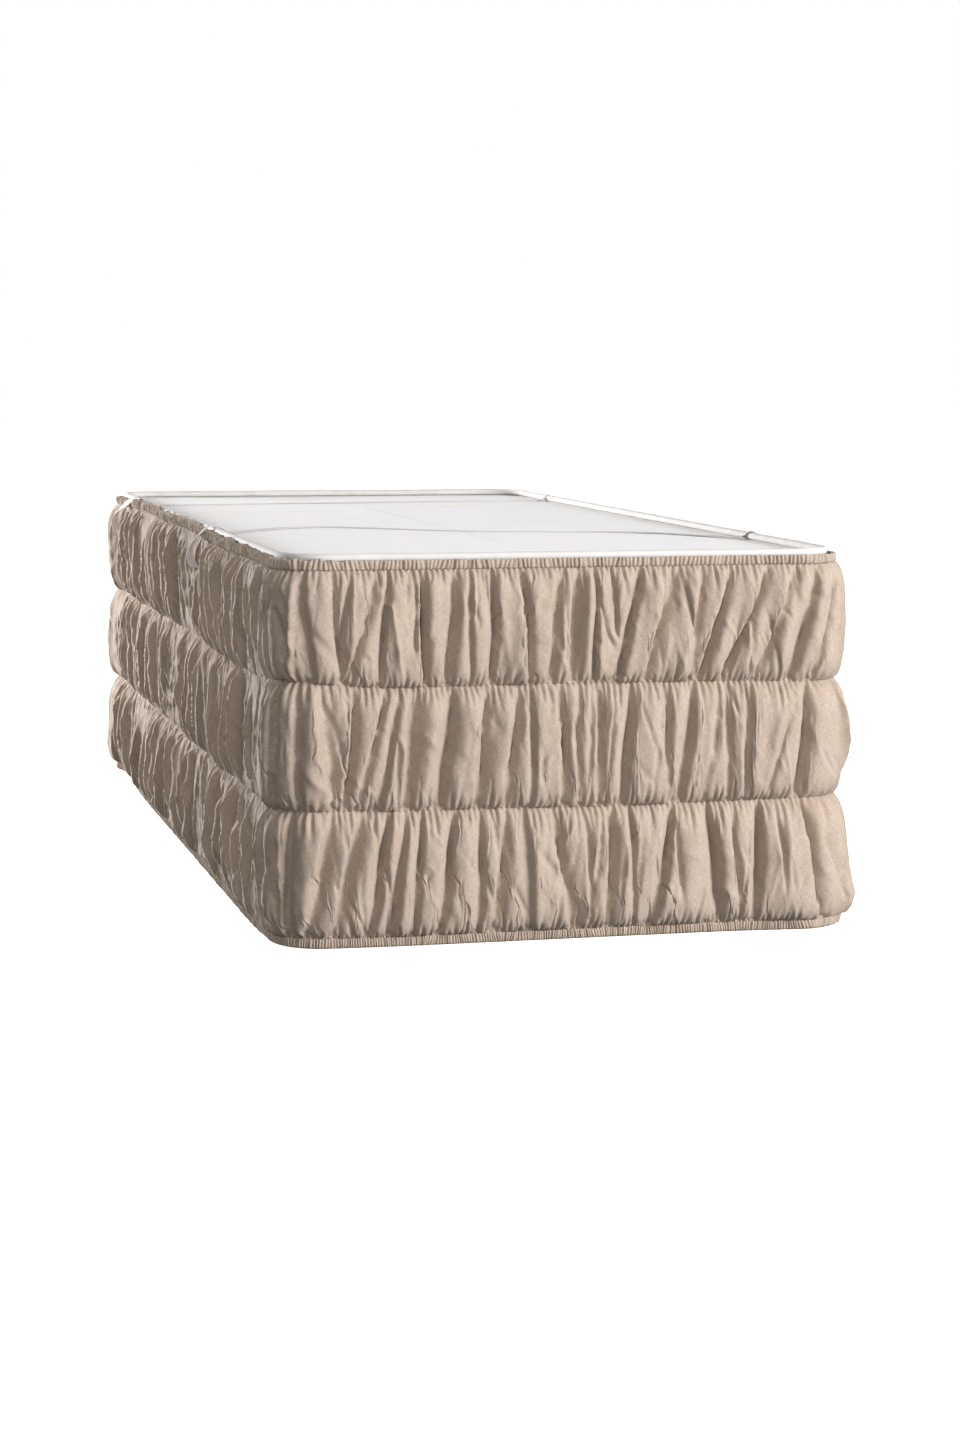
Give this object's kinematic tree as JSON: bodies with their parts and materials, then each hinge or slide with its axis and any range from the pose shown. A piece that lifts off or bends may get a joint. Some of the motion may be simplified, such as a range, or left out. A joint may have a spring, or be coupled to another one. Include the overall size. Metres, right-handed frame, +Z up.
{
  "type": "bed skirt on its bed base",
  "caption": "Gathered bed skirt: elastic-shirred linen tiers between a header band and a hem band, round a plain single bed base with a piped top edge and loose elastic straps.",
  "frame": {"origin": "on the floor under the middle of the bed base", "axes": "+Z up; +Y from the foot end along the bed's length to the head end; +X across the width, to the right as seen from the foot end"},
  "size_m": [0.9841, 2.0722, 0.6126],
  "materials": {
    "ticking": "plain off-white woven ticking, matt",
    "rim_cloth": "white fabric-covered piping cord, matt",
    "linen": "natural beige plain-weave washed linen with slubs, matt",
    "elastic": "white woven elastic band, slightly translucent"
  },
  "bodies": {
    "root": {"bed_base": "ticking", "rim_piping": "rim_cloth", "skirt": "linen", "strap_front": "elastic", "strap_rear": "elastic"}
  },
  "joints": []
}
